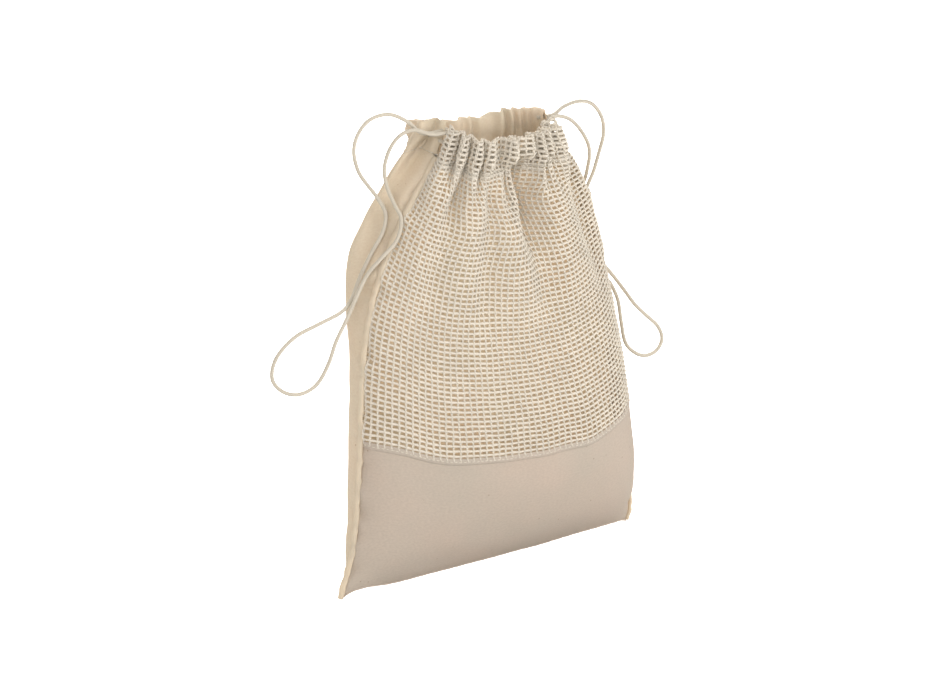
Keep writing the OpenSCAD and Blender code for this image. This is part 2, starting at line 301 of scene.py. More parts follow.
def calico_material(name, base, dark):
    """Unbleached plain weave: fine crossed threads, slubs, and sparse brown seed flecks."""
    s = Shader(name)
    where = s.add("ShaderNodeTexCoord").outputs["UV"]
    weave = []
    for direction in ("X", "Y"):
        wave = s.add("ShaderNodeTexWave", bands_direction=direction, Scale=520.0, Distortion=1.2)
        wave.inputs["Detail Scale"].default_value = 3.0
        s.join(where, wave.inputs["Vector"])
        weave.append(wave.outputs["Color"])
    threads = s.mix("ADD", 0.5, weave[0], weave[1])
    slub = s.add("ShaderNodeTexNoise", Scale=420.0, Detail=5.0)
    stretch = s.add("ShaderNodeMapping")
    stretch.inputs["Scale"].default_value = (1, 1.5, 1)
    s.join(where, stretch.inputs["Vector"])
    s.join(stretch.outputs["Vector"], slub.inputs["Vector"])
    cloudy = s.add("ShaderNodeTexNoise", Scale=14.0, Detail=3.0)
    s.join(where, cloudy.inputs["Vector"])
    tone = s.ramp(slub.outputs["Fac"], [(0.32, dark), (0.66, base)])
    broad = s.ramp(cloudy.outputs["Fac"], [(0.3, (0.93, 0.955, 0.95)), (0.7, (1.0, 0.985, 0.975))])
    colour = s.mix("MULTIPLY", 1.0, tone, broad)
    seeds = s.add("ShaderNodeTexVoronoi", Scale=130.0)
    s.join(where, seeds.inputs["Vector"])
    near = s.ramp(seeds.outputs["Distance"], [(0.0, grey(1.0)), (0.11, grey(0.0))])
    some = s.add("ShaderNodeSeparateColor")
    s.join(seeds.outputs["Color"], some.inputs["Color"])
    chosen = s.ramp(some.outputs["Red"], [(0.74, grey(0.0)), (0.80, grey(1.0))])
    spots = s.mix("MULTIPLY", 1.0, near, chosen)
    brown = s.ramp(spots, [(0.0, grey(1.0)), (1.0, (0.55, 0.42, 0.28))])
    colour = s.mix("MULTIPLY", 1.0, colour, brown)
    relief = s.mix("ADD", 0.35, threads, slub.outputs["Color"])
    bump = s.add("ShaderNodeBump", Strength=0.35, Distance=0.00025)
    s.join(relief, bump.inputs["Height"])
    s.join(bump.outputs["Normal"], s.surface.inputs["Normal"])
    cloth_finish(s, colour, 0.36)
    return s.material


def yarn_material(name, base, dark, along, across, slant, translucent=0.16, depth=0.00012):
    """Twisted yarn: slanting plies across a thread whose UVs run along it, with a fuzzy, uneven tone, and
    painted shade in the grooves between the plies.
    """
    s = Shader(name)
    where = s.add("ShaderNodeTexCoord").outputs["UV"]
    turn = s.add("ShaderNodeMapping")
    turn.inputs["Scale"].default_value = (along, across, 1)
    turn.inputs["Rotation"].default_value = (0, 0, slant)
    s.join(where, turn.inputs["Vector"])
    plies = s.add("ShaderNodeTexWave", Scale=1.0, Distortion=0.6, Detail=2.0)
    s.join(turn.outputs["Vector"], plies.inputs["Vector"])
    fuzz = s.add("ShaderNodeTexNoise", Scale=900.0, Detail=4.0)
    place = s.add("ShaderNodeTexCoord").outputs["Object"]
    s.join(place, fuzz.inputs["Vector"])
    broad = s.add("ShaderNodeTexNoise", Scale=45.0, Detail=2.0)
    s.join(place, broad.inputs["Vector"])
    # Painted shade: the colour goes from the base to the dark colour towards the grooves between the plies,
    # where the bump is lowest.
    tone = s.ramp(plies.outputs["Fac"], [(0.0, dark), (0.5, base)])
    shade = s.ramp(broad.outputs["Fac"], [(0.3, grey(0.93)), (0.7, grey(1.0))])
    colour = s.mix("MULTIPLY", 1.0, tone, shade)
    relief = s.mix("ADD", 0.5, plies.outputs["Color"], fuzz.outputs["Color"])
    bump = s.add("ShaderNodeBump", Strength=0.6, Distance=depth)
    s.join(relief, bump.inputs["Height"])
    s.join(bump.outputs["Normal"], s.surface.inputs["Normal"])
    cloth_finish(s, colour, translucent, 0.95)
    return s.material


CALICO = calico_material("calico", (0.885, 0.775, 0.62), (0.835, 0.715, 0.56))
# The same calico made darker for the lower front panel, the bottom seam and the join band: painted shade over
# the lower bag.
CALICO_WITH_PAINTED_SHADE = calico_material("calico_with_painted_shade", (0.71, 0.615, 0.525), (0.65, 0.56, 0.475))
# Each yarn's second colour is the painted shade in the grooves between its plies.
NET = yarn_material("net_yarn", (0.92, 0.86, 0.76), (0.84, 0.76, 0.64), 900, 1.0, 0.6, 0.3)
THREAD = yarn_material("sewing_thread", (0.95, 0.89, 0.78), (0.84, 0.76, 0.63), 1600, 1.0, 0.6)
CORD = yarn_material("cord_braid", (0.66, 0.60, 0.50), (0.50, 0.44, 0.35), 420, 2.0, 0.7, 0.06, 0.0003)

# ---- meshes --------------------------------------------------------------------------------------


def new_mesh(name, points, quads, material, uvs=None):
    """A smooth mesh object from points in mm, four-sided faces, and a UV in metres for each point."""
    points = np.asarray(points, float).reshape(-1, 3) * MM
    quads = np.asarray(quads, np.int32).reshape(-1, 4)
    mesh = bpy.data.meshes.new(name)
    mesh.vertices.add(len(points))
    mesh.vertices.foreach_set("co", points.astype(np.float32).ravel())
    mesh.loops.add(quads.size)
    mesh.loops.foreach_set("vertex_index", quads.ravel())
    mesh.polygons.add(len(quads))
    mesh.polygons.foreach_set("loop_start", np.arange(0, quads.size, 4, dtype=np.int32))
    mesh.polygons.foreach_set("use_smooth", np.ones(len(quads), bool))
    if uvs is not None:
        layer = mesh.uv_layers.new(name="uv")
        layer.data.foreach_set("uv", np.asarray(uvs, np.float32).reshape(-1, 2)[quads.ravel()].ravel())
    mesh.update(calc_edges=True)
    mesh.materials.append(material)
    made = bpy.data.objects.new(name, mesh)
    bpy.context.scene.collection.objects.link(made)
    return made


def grid_quads(rows, cols, offset=0):
    a = (np.arange(rows - 1)[:, None] * cols + np.arange(cols - 1)[None]).ravel() + offset
    return np.stack([a, a + 1, a + cols + 1, a + cols], 1)


def cloth_mesh(name, points, uvs, material, thickness=CLOTH_T):
    """A sheet of cloth: a grid of points with a thickness."""
    rows, cols = points.shape[:2]
    made = new_mesh(name, points, grid_quads(rows, cols), material, uvs * MM)
    thick = made.modifiers.new("thickness", "SOLIDIFY")
    thick.thickness = thickness * MM
    thick.offset = 0
    return made


def frames_along(path):
    """Two directions square to each point of a path, that turn as little as they can along it."""
    run = unit(np.gradient(path, axis=0), 1e-12)
    side = np.empty_like(run)
    side[0] = np.cross(run[0], [0, 0, 1.0] if abs(run[0, 2]) < 0.9 else [0, 1.0, 0])
    side[0] /= np.linalg.norm(side[0])
    for i in range(1, len(run)):
        step = side[i - 1] - run[i] * (side[i - 1] @ run[i])
        side[i] = step / (np.linalg.norm(step) + 1e-12)
    return side, np.cross(run, side)


class Tubes:
    """Collects tubes into one mesh."""

    def __init__(self):
        self.points = []
        self.quads = []
        self.uvs = []
        self.count = 0

    def add(self, path, side, up, half_w, half_h, sides, start=0.0):
        """A closed tube along path: half_w across side and half_h along up, each one number or one per point.
        The number of sides is even, so that four-sided faces close its ends."""
        n = len(path)
        if n < 2:
            return
        angle = 2 * np.pi * np.arange(sides) / sides
        c = np.cos(angle)[None, :, None]
        s = np.sin(angle)[None, :, None]
        w = np.broadcast_to(half_w, n)[:, None, None]
        h = np.broadcast_to(half_h, n)[:, None, None]
        ring = path[:, None] + side[:, None] * c * w + up[:, None] * s * h
        length = running_length(path) + start
        uv = np.stack(np.broadcast_arrays(length[:, None] * MM, (np.arange(sides) / sides)[None]), 2)
        a = (np.arange(n - 1)[:, None] * sides + np.arange(sides)[None]) + self.count
        b = (np.arange(n - 1)[:, None] * sides + (np.arange(sides)[None] + 1) % sides) + self.count
        self.quads.append(np.stack([a, b, b + sides, a + sides], 2).reshape(-1, 4))
        for first, flip in ((self.count, True), (self.count + (n - 1) * sides, False)):
            for k in range(1, sides - 2, 2):
                cap = [first, first + k, first + k + 1, first + k + 2]
                self.quads.append(np.array([cap[::-1] if flip else cap]))
        self.points.append(ring.reshape(-1, 3))
        self.uvs.append(uv.reshape(-1, 2))
        self.count += n * sides

    def round(self, path, radius, sides):
        path = np.asarray(path, float)
        side, up = frames_along(path)
        self.add(path, side, up, radius, radius, sides)

    def mesh(self, name, material):
        return new_mesh(name, np.vstack(self.points), np.vstack(self.quads), material, np.vstack(self.uvs))


def smooth_route(route, step):
    """Points at even steps along a smooth curve through a route."""
    per_span = 24
    p = np.asarray(route, float)
    q = np.vstack([2 * p[0] - p[1], p, 2 * p[-1] - p[-2]])
    t = np.linspace(0, 1, per_span, endpoint=False)[:, None]
    dense = []
    for i in range(1, len(q) - 2):
        a, b, c, d = q[i - 1:i + 3]
        dense.append(0.5 * (2 * b + (c - a) * t + (2 * a - 5 * b + 4 * c - d) * t**2
                            + (3 * b - a - 3 * c + d) * t**3))
    dense = np.vstack([*dense, p[-1:]])
    dense = soften(dense, 10)
    length = running_length(dense)
    even = np.linspace(0, length[-1], max(2, int(round(length[-1] / step)) + 1))
    return samples(length, dense, even)


# ---- free cord loops, made before the cloth ------------------------------------------------------


def free_loop(name, route, nodes):
    """One cord's free loop with its two legs, made as one tube."""
    path = smooth_route(route, CORD_STEP)
    tubes = Tubes()
    uneven = 0.02       # share of its thickness by which the cord varies
    tubes.round(path, CORD_D / 2 * (1 + uneven * wander(np.arange(len(path)) / len(path), 3, 40)), 16)
    made = tubes.mesh(name, CORD)
    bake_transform(made)
    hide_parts(*nodes)


free_loop("left_cord", LEFT_ROUTE,
          ["left_cord_legs", "left_cord_loop"])
free_loop("right_cord", RIGHT_ROUTE,
          ["right_cord_legs", "right_cord_loop"])

# ---- the cloth's shape ---------------------------------------------------------------------------


def stations_at(z):
    """The station values at heights z, on a smooth curve through the rows."""
    z = np.asarray(z, float)
    h = STATIONS[:, 0]
    slope = np.empty_like(STATIONS)
    slope[1:-1] = (STATIONS[2:] - STATIONS[:-2]) / (h[2:] - h[:-2])[:, None]
    slope[0] = (STATIONS[1] - STATIONS[0]) / (h[1] - h[0])
    slope[-1] = (STATIONS[-1] - STATIONS[-2]) / (h[-1] - h[-2])
    i = np.clip(np.searchsorted(h, z, side="right") - 1, 0, len(h) - 2)
    w = h[i + 1] - h[i]
    t = ((z - h[i]) / w)[..., None]
    return ((2 * t**3 - 3 * t**2 + 1) * STATIONS[i] + (t**3 - 2 * t**2 + t) * w[..., None] * slope[i]
            + (3 * t**2 - 2 * t**3) * STATIONS[i + 1] + (t**3 - t**2) * w[..., None] * slope[i + 1])


BACK_ROUNDNESS = 0.9    # below 1, the back is fuller near its side seams than a sine


def outline(front, t, z):
    """The level outline of the filled bag, t running from the left seam to the right seam."""
    s = stations_at(z)
    half = (s[..., 2] - s[..., 1]) / 2
    mid = (s[..., 2] + s[..., 1]) / 2
    swell = np.sin(np.pi * t)
    if front:
        x = mid - half * np.cos(np.pi * t) + s[..., 8] * swell**2
        y = s[..., 3] - s[..., 4] * swell
    else:
        wrap = np.where(t < 0.5, s[..., 6], s[..., 7])
        x = mid - half * np.cos(np.pi * t) - wrap * np.sin(2 * np.pi * t)
        y = s[..., 3] + s[..., 5] * np.maximum(swell, 0) ** BACK_ROUNDNESS
    return np.stack([x, y, z + 0 * t], -1)


def through(t, stops):
    """A smooth curve over t from 0 to 1 through evenly spaced heights."""
    h = np.array([stops[0], *stops, stops[-1]], float)
    place = np.clip(t, 0, 1) * (len(stops) - 1)
    i = np.clip(place.astype(int), 0, len(stops) - 2)
    f = place - i
    a, b, c, d = h[i], h[i + 1], h[i + 2], h[i + 3]
    return b + 0.5 * f * (c - a + f * (2 * a - 5 * b + 4 * c - d + f * (3 * (b - c) + d - a)))


def rim_height(front, t):
    """The gathered rim dips between its two ends."""
    if front:
        return through(t, RIM_FRONT) + wander(t, 5, 2.2)
    return through(t, RIM_BACK) + 1.2 * wander(t, 8, 3.0)


def foot_height(t):
    """The bottom seam rises a little between its corners."""
    return through(t, FOOT) + wander(t, 2, 3.4) * np.sin(np.pi * np.clip(t, 0, 1))


def gathers(front, share):
    """Close gathers at the neck, across a row from 0 to 1."""
    if front:
        phase = 9.6 * share + 0.42 * wander(share, 1, 2.1)
        size = 1 + 0.40 * wander(share, 4, 3.1)
    else:
        phase = 14.5 * share + 0.55 * wander(share, 6, 1.9)
        size = 1.0 + 0.8 * ease((0.30 - share) / 0.10) - 0.4 * ease((share - 0.78) / 0.1)
        size = size * (1 + 0.45 * wander(share, 7, 3.3))
    return size * np.sin(2 * np.pi * phase)


def broad_folds(front, share):
    """The fewer, broader folds that the gathers run out into down the bag."""
    phase = (4.4 if front else 4.0) * share + 0.22 * wander(share, 9 if front else 11, 1.4)
    return (1 + 0.35 * wander(share, 13, 2.2)) * np.sin(2 * np.pi * phase) * np.sin(np.pi * share) ** 0.4


def creases_across(creases, arc, v):
    """How far the deep creases draw the cloth inwards, along one row."""
    depth = np.zeros(len(arc))
    for top, low, top_v, low_v, most, width in creases:
        down = np.clip((top_v - v) / (top_v - low_v), -0.2, 1.2)
        centre = (top + (low - top) * down) * arc[-1]
        along = float(ease((top_v + 10 - v) / 14) * ease((v - low_v + 4) / (0.6 * (top_v - low_v))))
        depth += most * along * np.exp(-(((arc - centre) / (width * (1 + 0.9 * down))) ** 2))
    return depth


def wave_size(line, out, wave, target):
    """How large the wave has to be for the line to reach the target length, found by halving a range."""
    least = 0.0
    most = 14.0     # mm
    for _ in range(18):
        size = (least + most) / 2
        trial = line.copy()
        trial[:, :2] += out * (size * wave)[:, None]
        if line_length(trial) < target:
            least = size
        else:
            most = size
    return size


FULL_AT = 0.05          # share of a row in which its waves grow to their full size from each side seam
BROAD_SIZE = 1.8        # size of the broad folds against that of the close gathers


def share_of_slack(v):
    """How much of the difference between a row's outline and its cut width its waves take up."""
    return 0.12 + 0.20 * float(ease((v - 200) / 110)) + 0.64 * float(ease((v - 300) / 72))


def start_shape(front, columns, rows):
    """The gathered panel as a grid: rows up the cloth by columns across it."""
    creases = FRONT_CREASES if front else BACK_CREASES
    t = np.linspace(0, 1, 1201)
    few = np.linspace(0, 1, 81)
    low = foot_height(few)
    high = rim_height(front, few)
    q = np.linspace(0, 1, 161)
    z = low[None] + (high - low)[None] * q[:, None]
    side = outline(front, few[None], z)
    climb = np.linalg.norm(np.diff(side, axis=0), axis=2)
    length = np.concatenate([np.zeros((1, len(few))), np.cumsum(climb, axis=0)])
    length /= length[-1]
    grid = np.empty((len(rows), len(columns), 3))
    for j, v in enumerate(rows):
        share_up = v / FLAT_H + (0.026 + 0.016 * few) * (1 - np.sin(np.pi * few)) * np.sin(np.pi * v / FLAT_H)
        height = np.array([low[k] + (high[k] - low[k]) * np.interp(share_up[k], length[:, k], q)
                           for k in range(len(few))])
        line = outline(front, t, np.interp(t, few, height))
        run = np.gradient(line, axis=0)
        out = unit(np.stack([run[:, 1], -run[:, 0]], 1) * (1 if front else -1))
        arc = running_length(line)
        share = arc / arc[-1]
        close = float(ease((v - GATHER_FROM) / GATHER_OVER))
        broad = float(ease((v - FOLDS_FROM) / FOLDS_OVER)) * (1 - 0.85 * close)
        wave = close * gathers(front, share) + BROAD_SIZE * broad * broad_folds(front, share)
        wave = wave * ease(share / FULL_AT) * ease((1 - share) / FULL_AT)
        line[:, :2] -= out * creases_across(creases, arc, v)[:, None]
        target = arc[-1] + (FLAT_W - arc[-1]) * share_of_slack(v)
        line[:, :2] += out * (wave_size(line, out, wave, target) * wave)[:, None]
        arc = running_length(line)
        grid[j] = samples(arc, line, columns / FLAT_W * arc[-1])
    return grid


def part_slits(grid, front, columns, rows):
    """Above the bartacks, moves the panel's edges apart from the other panel's, to let the cords out."""
    gap = 2.6
    reach = 9
    up = ease((rows - CASING_V + 4) / 10)[:, None]
    edge = np.minimum(columns, FLAT_W - columns)[None]
    grid[..., 1] += (-1 if front else 1) * gap * up * np.exp(-((edge / reach) ** 2))


def relax(grid, columns, rows, steps, held_rows, hold):
    """Lets the cloth settle: threads resist stretching, give way when pushed together, and resist bending.
    The edges and the rows in held_rows stay put, and the rest is held loosely to its start shape."""
    squeezed = 0.12         # how much of its stiffness a thread keeps when it is pushed together
    stretched = 0.9
    stiff_across = 0.10
    stiff_up = 0.22
    p = grid.copy()
    du = columns[1] - columns[0]
    dv = np.diff(rows)
    free = np.ones(p.shape[:2] + (1,))
    free[:, 0] = free[:, -1] = 0
    free[held_rows] = 0
    free[0] = 0

    def settle(a, b, length):
        d = p[b] - p[a]
        now = np.sqrt((d * d).sum(-1, keepdims=True)) + 1e-9
        length = np.reshape(length, (-1, 1, 1)) if np.ndim(length) else length
        give = np.where(now > length, stretched, stretched * squeezed)
        wa = free[a]
        wb = free[b]
        move = give * (1 - length / now) * d / np.maximum(wa + wb, 1)
        p[a] += wa * move
        p[b] -= wb * move

    everything = slice(None)
    for _ in range(steps):
        for o in (0, 1):
            one = slice(o, -1, 2)
            other = slice(o + 1, None, 2)
            settle((everything, one), (everything, other), du)
            settle((one, everything), (other, everything), dv[o::2])
        mid = (p[:, 2:] + p[:, :-2]) / 2 - p[:, 1:-1]
        p[:, 1:-1] += free[:, 1:-1] * mid * stiff_across
        mid = (p[2:] + p[:-2]) / 2 - p[1:-1]
        p[1:-1] += free[1:-1] * mid * stiff_up
        p += free * (grid - p) * hold
    return p


def dents(grid, front, columns, rows):
    """Adds the soft hollows of filled cotton cloth, and the pucker beside its side seams."""
    u = columns[None] / FLAT_W
    v = rows[:, None] / FLAT_H
    rough = (0.9 * wander(u + 0.35 * v, 21 if front else 31, 2.1) * wander(v + 0.2 * u, 23, 1.7)
             + 0.5 * wander(0.8 * u - 0.5 * v, 27, 4.3) * wander(v + 0.4 * u, 29, 3.6))
    edge = ease(np.minimum(u, 1 - u) / 0.06) * ease(v / 0.08) * ease((0.9 - v) / 0.1)
    out = unit(np.cross(np.gradient(grid, axis=1), np.gradient(grid, axis=0)) * (1 if front else -1))
    grid += out * (rough * edge * (1.0 if front else 1.6))[..., None]
    near = np.exp(-((np.minimum(u, 1 - u) / 0.035) ** 2))
    pucker = 2.2 * wander(v + 0 * u, 37, 9.0) * near * ease(v / 0.05) * ease((0.93 - v) / 0.1)
    grid += out * (pucker * ease(np.minimum(u, 1 - u) / 0.012))[..., None]


class Surface:
    """A panel's finished shape, that gives the place and outward direction of any point of its cloth."""

    def __init__(self, front, columns, rows, grid):
        self.front = front
        self.columns = columns
        self.rows = rows
        self.grid = grid
        climb = np.gradient(grid, rows, axis=0)
        pull = np.gradient(grid, columns, axis=1)
        self.out = unit(np.cross(pull, climb) * (1 if front else -1))

    def look_up(self, field, u, v):
        """A smooth curve through a field's values, which stand at even steps of u and v."""
        fu = np.clip(u / FLAT_W, 0, 1) * (len(self.columns) - 1)
        fv = np.clip(v / FLAT_H, 0, 1) * (len(self.rows) - 1)
        iu = np.clip(fu.astype(int), 0, len(self.columns) - 2)
        iv = np.clip(fv.astype(int), 0, len(self.rows) - 2)
        total = 0.0
        for i, wi in enumerate(self.weights(fu - iu)):
            for j, wj in enumerate(self.weights(fv - iv)):
                col = np.clip(iu + i - 1, 0, len(self.columns) - 1)
                row = np.clip(iv + j - 1, 0, len(self.rows) - 1)
                total = total + field[row, col] * (wi * wj)[..., None]
        return total

    @staticmethod
    def weights(t):
        return (-0.5 * t + t**2 - 0.5 * t**3, 1 - 2.5 * t**2 + 1.5 * t**3,
                0.5 * t + 2 * t**2 - 1.5 * t**3, -0.5 * t**2 + 0.5 * t**3)

    def at(self, u, v, lift=0.0):
        u, v = np.broadcast_arrays(np.asarray(u, float), np.asarray(v, float))
        return self.look_up(self.grid, u, v) + self.facing(u, v) * np.asarray(lift)[..., None]

    def facing(self, u, v):
        u, v = np.broadcast_arrays(np.asarray(u, float), np.asarray(v, float))
        return unit(self.look_up(self.out, u, v))


LOWEST = 0.9            # the cloth's middle stays this far above the table


def make_surface(front):
    columns = np.linspace(0, FLAT_W, 151)
    rows = np.linspace(0, FLAT_H, 201)
    grid = start_shape(front, columns, rows)
    part_slits(grid, front, columns, rows)
    held = np.where(rows > CASING_V + 6)[0]
    grid = relax(grid, columns, rows, 90, held, 0.02)
    dents(grid, front, columns, rows)
    grid[..., 2] = np.maximum(grid[..., 2], LOWEST)
    return Surface(front, columns, rows, grid)


FRONT = make_surface(True)
BACK = make_surface(False)


CHANNEL_DEPTH = 4.4     # how far the lining's middle bulges in, round the cords
LINING_GAP = 1.1        # how far the lining lies inside the outer cloth elsewhere
LINING_CALM = 0.42      # how much less the lining's middle follows the gathers


def casing_lining(surface, steps):
    """The casing's turned-in layer: from the rim down inside to its edge below the stitch line."""
    columns = surface.columns
    fall = np.linspace(0, 1, steps)
    v = FLAT_H - fall * (FLAT_H - CASING_V + HEM_V)
    outer = surface.at(columns[None], v[:, None])
    calm = soften(outer, 60)
    inwards = inwards_from(calm, surface.front)
    bulge = np.sin(np.pi * np.clip(fall * (FLAT_H - CASING_V + HEM_V) / (FLAT_H - CASING_V), 0, 1)) ** 0.6
    ends = ease(np.minimum(columns, FLAT_W - columns) / 10)[None]
    deep = (CHANNEL_DEPTH * bulge[:, None] + LINING_GAP * ease(fall / 0.1)[:, None]) * (0.45 + 0.55 * ends)
    return outer + (calm - outer) * LINING_CALM * bulge[:, None, None] + inwards * deep[..., None], v


# ---- calico pieces -------------------------------------------------------------------------------


def uv_grid(columns, v):
    return np.stack(np.broadcast_arrays(columns[None], v[:, None]), 2)


def sheet_up_to(name, surface, top_v, steps, material):
    """A panel's cloth from the bottom seam up to the height top_v."""
    u = np.linspace(0, FLAT_W, 241)
    v = np.linspace(0, top_v, steps)
    return cloth_mesh(name, surface.at(u[None], v[:, None]), uv_grid(u, v), material)


back_panel = sheet_up_to("back_calico_panel", BACK, CASING_V, 260, CALICO)
# The lower panel uses the darker calico: painted shade.
lower_panel = sheet_up_to("front_calico_panel", FRONT, JOIN_V, 90, CALICO_WITH_PAINTED_SHADE)


def casing_puff(v):
    """How far a casing's outer layer stands out at the heights v, over the cords inside it."""
    return 1.3 * np.sin(np.pi * np.clip((v - CASING_V) / (FLAT_H - CASING_V), 0, 1))


def fold_over(name, surface, material):
    """The casing of a calico panel: up the outside, over the rim and down the inside."""
    u = np.linspace(0, FLAT_W, 361)
    v_out = np.linspace(CASING_V, FLAT_H, 30)
    outer = surface.at(u[None], v_out[:, None], casing_puff(v_out)[:, None])
    lining, v_in = casing_lining(surface, 30)
    lined = np.stack([samples(surface.columns, row, u) for row in lining])
    points = np.concatenate([outer, lined[1:]])
    v = np.concatenate([v_out, 2 * FLAT_H - v_in[1:]])
    return cloth_mesh(name, points, uv_grid(u, v), material, 0.6)


back_casing = fold_over("back_calico_casing", BACK, CALICO)

# ---- net -----------------------------------------------------------------------------------------

WEFT_HALF = (1.06, 0.6)     # half-width and half-height of a level thread
STRAND_HALF = 0.56          # half-thickness of each of the two strands of an upright thread
STRAND_SWING = 0.50         # how far a strand goes to either side of its upright thread's middle
STRAND_LIFT = 0.62          # how far it goes before and behind the level threads' middle
THREAD_SIDES = 6
NET_UNDER_BAND = 3          # how far the net's uprights reach down behind the join's band
NET_EDGE = 0.6              # how far the level threads stop short of the side seams
NET_U = np.arange(3.4, FLAT_W - 3, WARP_PITCH)


def net_threads(place, facing, u_list, v_list, v_range, tubes):
    """Lays a leno net over a surface: level threads held by pairs of strands that twist up the cloth."""
    u = np.arange(NET_EDGE, FLAT_W - NET_EDGE + 0.01, 1.6)
    for k, v in enumerate(v_list):
        sway = 0.28 * wander(u / FLAT_W, 40 + k * 0.37, 9)
        lift = 0.10 * wander(u / FLAT_W, 90 + k * 0.71, 14)
        line = place(u, v + sway, lift)
        up = facing(u, v + sway)
        side = unit(np.cross(np.gradient(line, axis=0), up))
        girth = 1 + 0.16 * wander(u / FLAT_W, 60 + k * 0.53, 23)
        tubes.add(line, side, up, WEFT_HALF[0] * girth, WEFT_HALF[1] * girth, THREAD_SIDES, 37.0 * k)
    v = np.arange(v_range[0], v_range[1] + 0.01, 1.0)
    for k, u0 in enumerate(u_list):
        sway = 0.30 * wander(v / FLAT_H, 50 + k * 0.61, 8)
        for strand in (1, -1):
            turn = np.pi * (v - v_list[0]) / WEFT_PITCH + 0.9
            across = strand * STRAND_SWING * np.cos(turn)
            lift = strand * STRAND_LIFT * np.sin(turn)
            line = place(u0 + sway + across, v, lift)
            side, up = frames_along(line)
            girth = STRAND_HALF * (1 + 0.14 * wander(v / FLAT_H, 70 + k * 0.47 + strand, 21))
            tubes.add(line, side, up, girth, girth, THREAD_SIDES, 29.0 * k)


def build_net():
    tubes = Tubes()
    v_list = np.arange(JOIN_V - 1.6, CASING_V - 1, WEFT_PITCH)
    net_threads(FRONT.at, FRONT.facing, NET_U, v_list, (JOIN_V - NET_UNDER_BAND, CASING_V), tubes)
    return tubes.mesh("front_net", NET)


def build_net_casing():
    """The net's turned-over top. Its inner layer's uprights stand between those of the outer layer."""
    lining, v_in = casing_lining(FRONT, 24)
    inner = Surface(True, FRONT.columns, np.linspace(0, FLAT_H, len(v_in)), lining)

    def outer_at(u, v, lift):
        return FRONT.at(u, v, casing_puff(v) + lift)

    def on_lining(v):
        return (FLAT_H - v) / (FLAT_H - v_in[-1]) * FLAT_H

    def inner_at(u, v, lift):
        return inner.at(u, on_lining(v), lift)

    def inner_facing(u, v):
        return inner.facing(u, on_lining(v))

    tubes = Tubes()
    v_list = np.arange(CASING_V + 1.2, FLAT_H - 0.4, WEFT_PITCH)
    net_threads(outer_at, FRONT.facing, NET_U, v_list, (CASING_V, FLAT_H), tubes)
    v_list = np.arange(v_in[-1] + 0.6, FLAT_H - 2, WEFT_PITCH)
    between = NET_U[:-1] + WARP_PITCH / 2
    net_threads(inner_at, inner_facing, between, v_list, (v_in[-1], FLAT_H), tubes)
    return tubes.mesh("front_net_casing", NET)


front_net = build_net()
front_casing = build_net_casing()

# ---- seams, stitches and bartacks ----------------------------------------------------------------


STITCH = 2.6            # length of a stitch
STITCH_GAP = 1.1
STITCH_EDGE = 3.0       # how far a row of stitches stops short of the side seams
STITCH_R = 0.27


def stitch_row(name, surface, v, lift):
    tubes = Tubes()
    for k, u in enumerate(np.arange(STITCH_EDGE, FLAT_W - STITCH_EDGE - STITCH, STITCH + STITCH_GAP)):
        along = np.linspace(u, u + STITCH, 6)
        drop = lift * np.sin(np.pi * np.linspace(0.04, 0.96, 6)) ** 0.4
        off = 0.15 * math.sin(k * 1.7)
        tubes.round(surface.at(along, v + off, drop), STITCH_R, THREAD_SIDES)
    return tubes.mesh(name, THREAD)


def ridge(name, path, half_w, half_h, material, out):
    """A rolled or folded edge along a seam, a little uneven."""
    run = np.gradient(path, axis=0)
    side = unit(np.cross(run, out))
    up = unit(np.cross(side, run))
    uneven = 1 + 0.12 * wander(np.linspace(0, 1, len(path)), 17, 26)
    tubes = Tubes()
    tubes.add(path, side, up, half_w * uneven, half_h * uneven, 10)
    return tubes.mesh(name, material)


def side_seam(name, u, outwards):
    """The seam's turned edge, which stands out sideways and a little forwards."""
    v = np.arange(1.0, CASING_V - 1, SEAM_STEP)
    path = FRONT.at(np.full_like(v, u), v)
    out = unit(np.tile([outwards, -0.35, 0.0], (len(v), 1)), 0)
    wobble = 0.8 * wander(v / FLAT_H, 19 + outwards, 17)
    path = path + out * (1.5 + wobble)[:, None]
    return ridge(name, path, 2.6, 1.8, CALICO, out)


left_seam = side_seam("left_seam_edge", 0.0, -1)
right_seam = side_seam("right_seam_edge", FLAT_W, 1)


def seam_allowance(name, u, outwards):
    """The raw cloth edges inside the side seam, bound by overlock stitches."""
    cut_width = 8.0
    v = np.arange(4.0, CASING_V - 8, SEAM_STEP)
    width = np.linspace(0, 1, 5)
    reach = cut_width + 0.6 * wander(v / FLAT_H, 33, 13)
    across = u - outwards * width[None] * reach[:, None]
    points = BACK.at(across, v[:, None], -1.3)
    strip = cloth_mesh(name, points, uv_grid(cut_width * width, v), CALICO, 1.0)
    tubes = Tubes()
    zigzag = np.array([points[k, -1] if k % 2 else points[k, 2] for k in range(len(v) - 3)])
    path = zigzag - BACK.facing(np.full(len(zigzag), u), v[:-3]) * 0.8
    tubes.round(path, 0.3, THREAD_SIDES)
    overlock = tubes.mesh(name + "_overlock", THREAD)
    return strip, overlock


left_allowance = seam_allowance("left_seam_allowance", 0.0, -1)
right_allowance = seam_allowance("right_seam_allowance", FLAT_W, 1)


def bottom_edge():
    u = np.linspace(0.5, FLAT_W - 0.5, 260)
    path = FRONT.at(u, np.zeros_like(u))
    down = np.tile([0.0, 0.0, -1.0], (len(u), 1))
    # The bottom seam uses the darker calico: painted shade.
    return ridge("bottom_seam_edge", path, 1.5, 0.8, CALICO_WITH_PAINTED_SHADE, down)


bottom_seam = bottom_edge()


